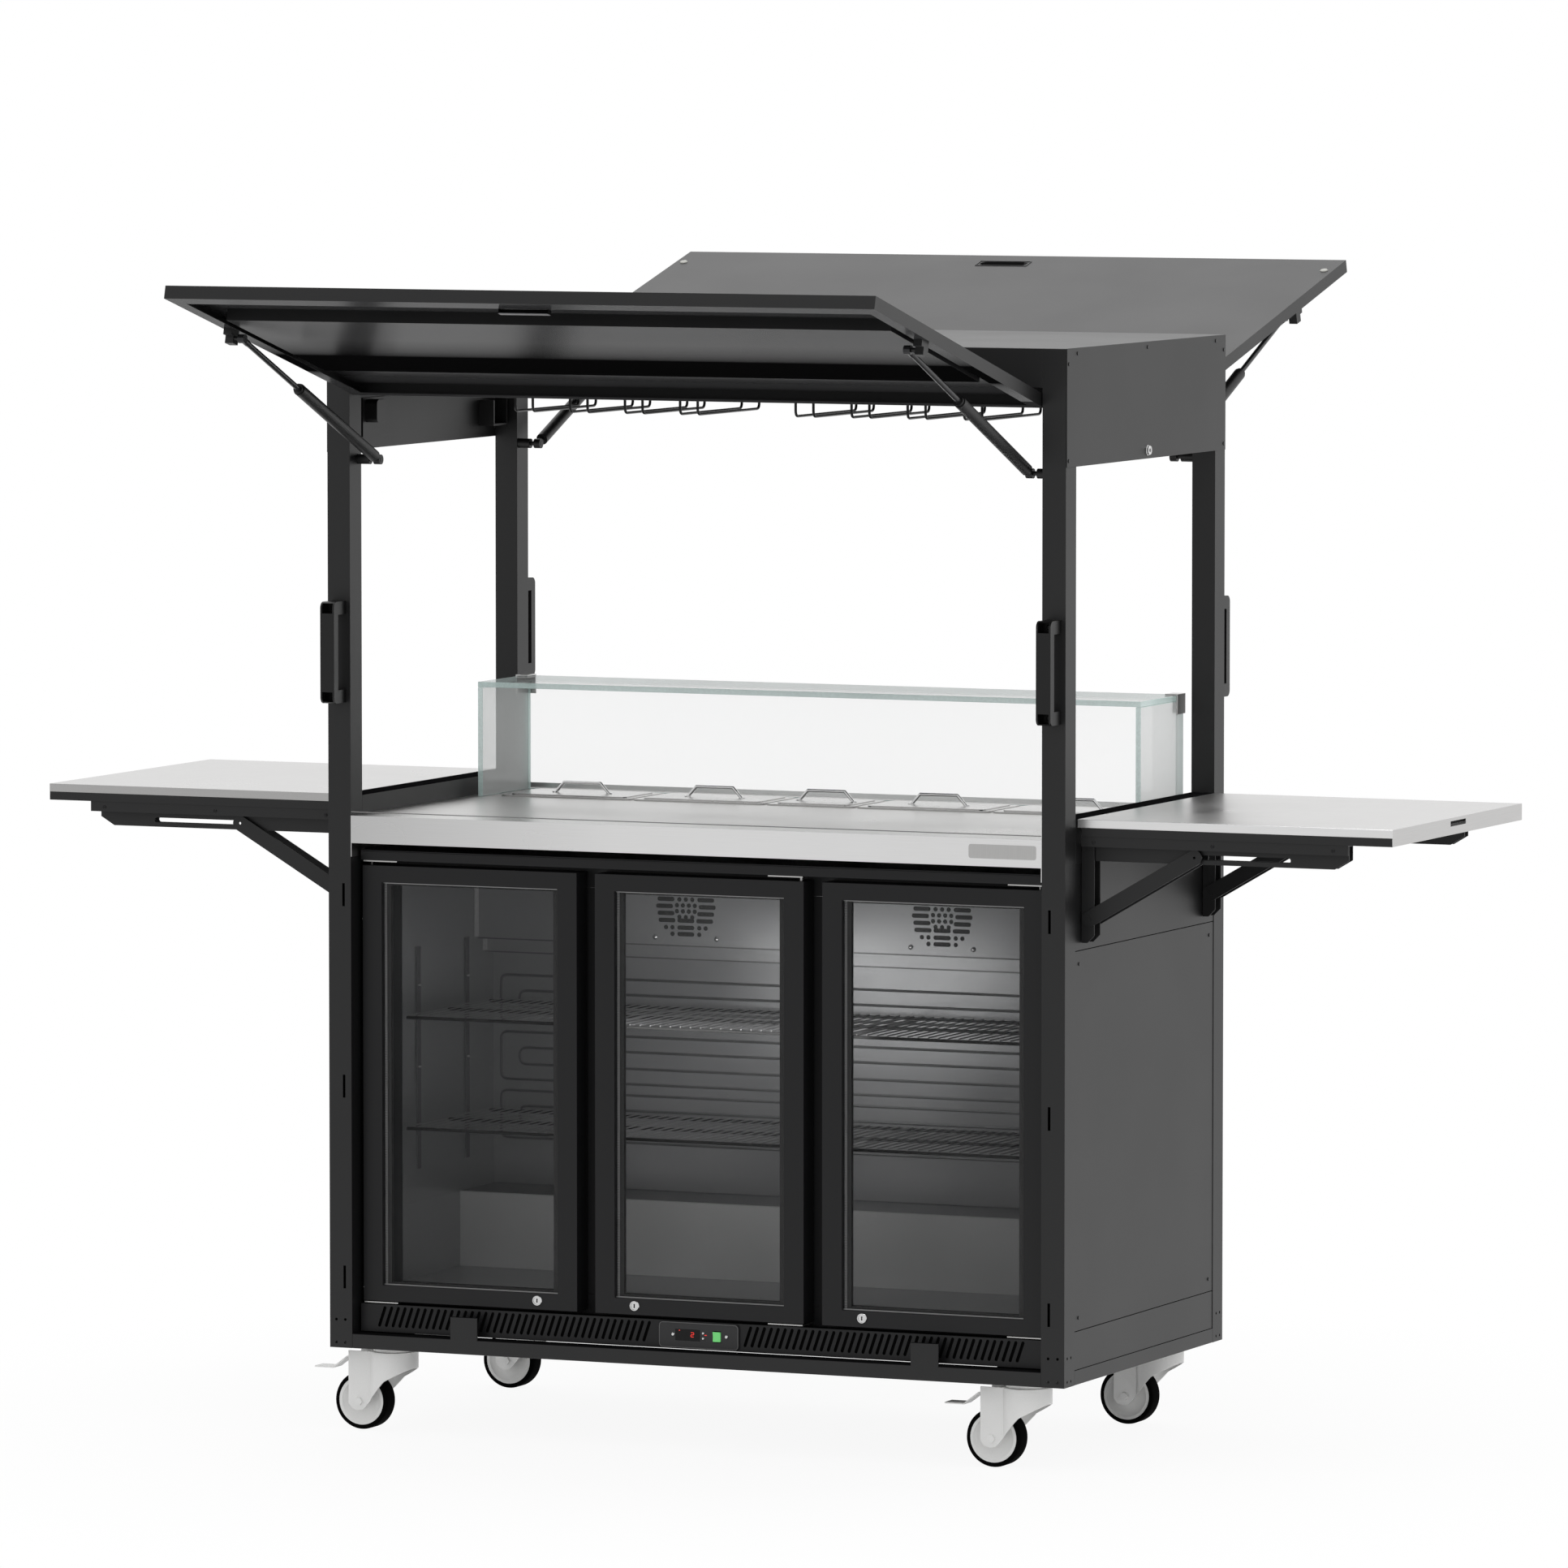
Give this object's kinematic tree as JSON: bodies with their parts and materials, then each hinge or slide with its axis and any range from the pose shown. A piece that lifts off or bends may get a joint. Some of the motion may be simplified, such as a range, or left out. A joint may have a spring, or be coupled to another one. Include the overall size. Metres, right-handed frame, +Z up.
{
  "type": "mobile bar unit",
  "caption": "Rolling bar station with a glass-door cooler, steel worktop with lidded pans under a glass guard, gas-strut flaps, glass racks and folding side shelves.",
  "frame": {"origin": "on the floor under the middle of the unit", "axes": "+X to the right seen from the front, +Y to the back, +Z up; the doors face -Y"},
  "size_m": [2.647, 2.2422, 2.1148],
  "materials": {
    "black_metal": "satin",
    "steel": "satin",
    "clear_glass": "gloss",
    "door_glass": "gloss",
    "liner": "satin",
    "wire": "satin",
    "black_plastic": "matte",
    "door_frame": "satin",
    "chrome": "polished",
    "green_plastic": "gloss",
    "zinc": "satin",
    "tyre": "matte"
  },
  "bodies": {
    "unit": {"corner_posts": "black_metal", "base_frame": "black_metal", "body_panels": "black_metal", "worktop": "steel", "food_pans": "steel", "glass_guard": "clear_glass", "glass_clamps": "steel", "cooler_shell": "black_metal", "cooler_liner": "liner", "shelf_set": "wire", "vent_grille": "black_metal", "controller_panel": "black_plastic", "door_hinges": "steel", "roof_panel": "black_metal", "fascia_panels": "black_metal", "fascia_locks": "chrome", "strut_anchors": "black_metal", "glass_racks": "black_metal", "push_handles": "black_plastic", "caster_plates": "zinc", "shelf_legs": "black_metal", "power_boxes": "black_plastic", "panel_screws": "black_metal"},
    "flap_front": {"flap_front": "black_metal"},
    "strut_tubes_front": {"strut_tubes_front": "black_metal"},
    "strut_rods_front": {"strut_rods_front": "wire"},
    "flap_rear": {"flap_rear": "black_metal"},
    "strut_tubes_rear": {"strut_tubes_rear": "black_metal"},
    "strut_rods_rear": {"strut_rods_rear": "wire"},
    "door_left": {"door_left": "door_frame", "glass_left": "door_glass"},
    "lock_left": {"lock_left": "chrome"},
    "door_middle": {"door_middle": "door_frame", "glass_middle": "door_glass"},
    "lock_middle": {"lock_middle": "chrome"},
    "door_right": {"door_right": "door_frame", "glass_right": "door_glass"},
    "lock_right": {"lock_right": "chrome"},
    "rocker_switch": {"rocker_switch": "green_plastic"},
    "fork_front_left": {"fork_front_left": "zinc"},
    "wheel_front_left": {"wheel_front_left": "tyre"},
    "pedal_left": {"pedal_left": "zinc"},
    "fork_front_right": {"fork_front_right": "zinc"},
    "wheel_front_right": {"wheel_front_right": "tyre"},
    "pedal_right": {"pedal_right": "zinc"},
    "fork_rear_left": {"fork_rear_left": "zinc"},
    "wheel_rear_left": {"wheel_rear_left": "tyre"},
    "fork_rear_right": {"fork_rear_right": "zinc"},
    "wheel_rear_right": {"wheel_rear_right": "tyre"},
    "shelf_left": {"shelf_top_left": "steel", "shelf_frame_left": "black_metal"},
    "brace_left": {"brace_left": "black_metal"},
    "shelf_right": {"shelf_top_right": "steel", "shelf_frame_right": "black_metal"},
    "brace_right": {"brace_right": "black_metal"},
    "lid_1": {"lid_1": "steel"},
    "lid_2": {"lid_2": "steel"},
    "lid_3": {"lid_3": "steel"},
    "lid_4": {"lid_4": "steel"},
    "lid_5": {"lid_5": "steel"}
  },
  "joints": [
    {"name": "flap_front_hinge", "type": "hinge", "parent": "unit", "child": "flap_front", "pos_m": [0, -0.372, 1.9116], "axis": [1, 0, 0], "range_deg": [0, 104.7]},
    {"name": "strut_front_turn", "type": "hinge", "parent": "unit", "child": "strut_tubes_front", "pos_m": [0, -0.342, 1.777], "axis": [1, 0, 0], "range_deg": [-1, 114.72]},
    {"name": "strut_front_stroke", "type": "slide", "parent": "strut_tubes_front", "child": "strut_rods_front", "axis": [0, -0.9176, 0.3976], "range_m": [-0.20668, 0.002]},
    {"name": "flap_rear_hinge", "type": "hinge", "parent": "unit", "child": "flap_rear", "pos_m": [0, 0.372, 1.9116], "axis": [-1, 0, 0], "range_deg": [0, 104.7]},
    {"name": "strut_rear_turn", "type": "hinge", "parent": "unit", "child": "strut_tubes_rear", "pos_m": [0, 0.342, 1.777], "axis": [-1, 0, 0], "range_deg": [-1, 114.72]},
    {"name": "strut_rear_stroke", "type": "slide", "parent": "strut_tubes_rear", "child": "strut_rods_rear", "axis": [0, 0.9176, 0.3976], "range_m": [-0.20668, 0.002]},
    {"name": "door_left_hinge", "type": "hinge", "parent": "unit", "child": "door_left", "pos_m": [-0.661, -0.335, 0.639], "axis": [0, 0, -1], "range_deg": [0, 90]},
    {"name": "lock_left_turn", "type": "hinge", "parent": "door_left", "child": "lock_left", "pos_m": [-0.321, -0.349, 0.257], "axis": [0, 1, 0], "range_deg": [0, 90]},
    {"name": "door_middle_hinge", "type": "hinge", "parent": "unit", "child": "door_middle", "pos_m": [0.195, -0.335, 0.639], "axis": [0, 0, 1], "range_deg": [0, 90]},
    {"name": "lock_middle_turn", "type": "hinge", "parent": "door_middle", "child": "lock_middle", "pos_m": [-0.127, -0.349, 0.257], "axis": [0, 1, 0], "range_deg": [0, 90]},
    {"name": "door_right_hinge", "type": "hinge", "parent": "unit", "child": "door_right", "pos_m": [0.661, -0.335, 0.639], "axis": [0, 0, 1], "range_deg": [0, 90]},
    {"name": "lock_right_turn", "type": "hinge", "parent": "door_right", "child": "lock_right", "pos_m": [0.321, -0.349, 0.257], "axis": [0, 1, 0], "range_deg": [0, 90]},
    {"name": "rocker_tilt", "type": "hinge", "parent": "unit", "child": "rocker_switch", "pos_m": [0.039, -0.3545, 0.20975], "axis": [-1, 0, 0], "range_deg": [0, 14]},
    {"name": "swivel_front_left", "type": "hinge", "parent": "unit", "child": "fork_front_left", "pos_m": [-0.627, -0.315, 0.143], "axis": [0, 0, 1], "continuous": true},
    {"name": "spin_front_left", "type": "hinge", "parent": "fork_front_left", "child": "wheel_front_left", "pos_m": [-0.685, -0.315, 0.053], "axis": [0, 1, 0], "continuous": true},
    {"name": "pedal_left_tilt", "type": "hinge", "parent": "fork_front_left", "child": "pedal_left", "pos_m": [-0.681, -0.315, 0.136], "axis": [0, -1, 0], "range_deg": [0, 12]},
    {"name": "swivel_front_right", "type": "hinge", "parent": "unit", "child": "fork_front_right", "pos_m": [0.627, -0.315, 0.143], "axis": [0, 0, 1], "continuous": true},
    {"name": "spin_front_right", "type": "hinge", "parent": "fork_front_right", "child": "wheel_front_right", "pos_m": [0.569, -0.315, 0.053], "axis": [0, 1, 0], "continuous": true},
    {"name": "pedal_right_tilt", "type": "hinge", "parent": "fork_front_right", "child": "pedal_right", "pos_m": [0.573, -0.315, 0.136], "axis": [0, -1, 0], "range_deg": [0, 12]},
    {"name": "swivel_rear_left", "type": "hinge", "parent": "unit", "child": "fork_rear_left", "pos_m": [-0.627, 0.315, 0.143], "axis": [0, 0, 1], "continuous": true},
    {"name": "spin_rear_left", "type": "hinge", "parent": "fork_rear_left", "child": "wheel_rear_left", "pos_m": [-0.685, 0.315, 0.053], "axis": [0, 1, 0], "continuous": true},
    {"name": "swivel_rear_right", "type": "hinge", "parent": "unit", "child": "fork_rear_right", "pos_m": [0.627, 0.315, 0.143], "axis": [0, 0, 1], "continuous": true},
    {"name": "spin_rear_right", "type": "hinge", "parent": "fork_rear_right", "child": "wheel_rear_right", "pos_m": [0.569, 0.315, 0.053], "axis": [0, 1, 0], "continuous": true},
    {"name": "shelf_left_hinge", "type": "hinge", "parent": "unit", "child": "shelf_left", "pos_m": [-0.741, 0, 1.101], "axis": [0, -1, 0], "range_deg": [0, 90]},
    {"name": "brace_left_turn", "type": "hinge", "parent": "unit", "child": "brace_left", "pos_m": [-0.741, 0, 0.9862], "axis": [0, -1, 0], "range_deg": [-1, 120.77]},
    {"name": "shelf_right_hinge", "type": "hinge", "parent": "unit", "child": "shelf_right", "pos_m": [0.741, 0, 1.101], "axis": [0, 1, 0], "range_deg": [0, 90]},
    {"name": "brace_right_turn", "type": "hinge", "parent": "unit", "child": "brace_right", "pos_m": [0.741, 0, 0.9862], "axis": [0, 1, 0], "range_deg": [-1, 120.77]},
    {"name": "lid_1_lift", "type": "slide", "parent": "unit", "child": "lid_1", "axis": [0, 0, 1], "range_m": [0, 0.15]},
    {"name": "lid_2_lift", "type": "slide", "parent": "unit", "child": "lid_2", "axis": [0, 0, 1], "range_m": [0, 0.15]},
    {"name": "lid_3_lift", "type": "slide", "parent": "unit", "child": "lid_3", "axis": [0, 0, 1], "range_m": [0, 0.15]},
    {"name": "lid_4_lift", "type": "slide", "parent": "unit", "child": "lid_4", "axis": [0, 0, 1], "range_m": [0, 0.15]},
    {"name": "lid_5_lift", "type": "slide", "parent": "unit", "child": "lid_5", "axis": [0, 0, 1], "range_m": [0, 0.15]}
  ],
  "couplings": [
    {"joint": "strut_front_turn", "follows": "flap_front_hinge", "ratio": 1.0861},
    {"joint": "strut_front_stroke", "follows": "flap_front_hinge", "m_per_rad": -0.11201},
    {"joint": "strut_rear_turn", "follows": "flap_rear_hinge", "ratio": 1.0861},
    {"joint": "strut_rear_stroke", "follows": "flap_rear_hinge", "m_per_rad": -0.11201},
    {"joint": "brace_left_turn", "follows": "shelf_left_hinge", "ratio": 1.3308},
    {"joint": "brace_right_turn", "follows": "shelf_right_hinge", "ratio": 1.3308}
  ]
}
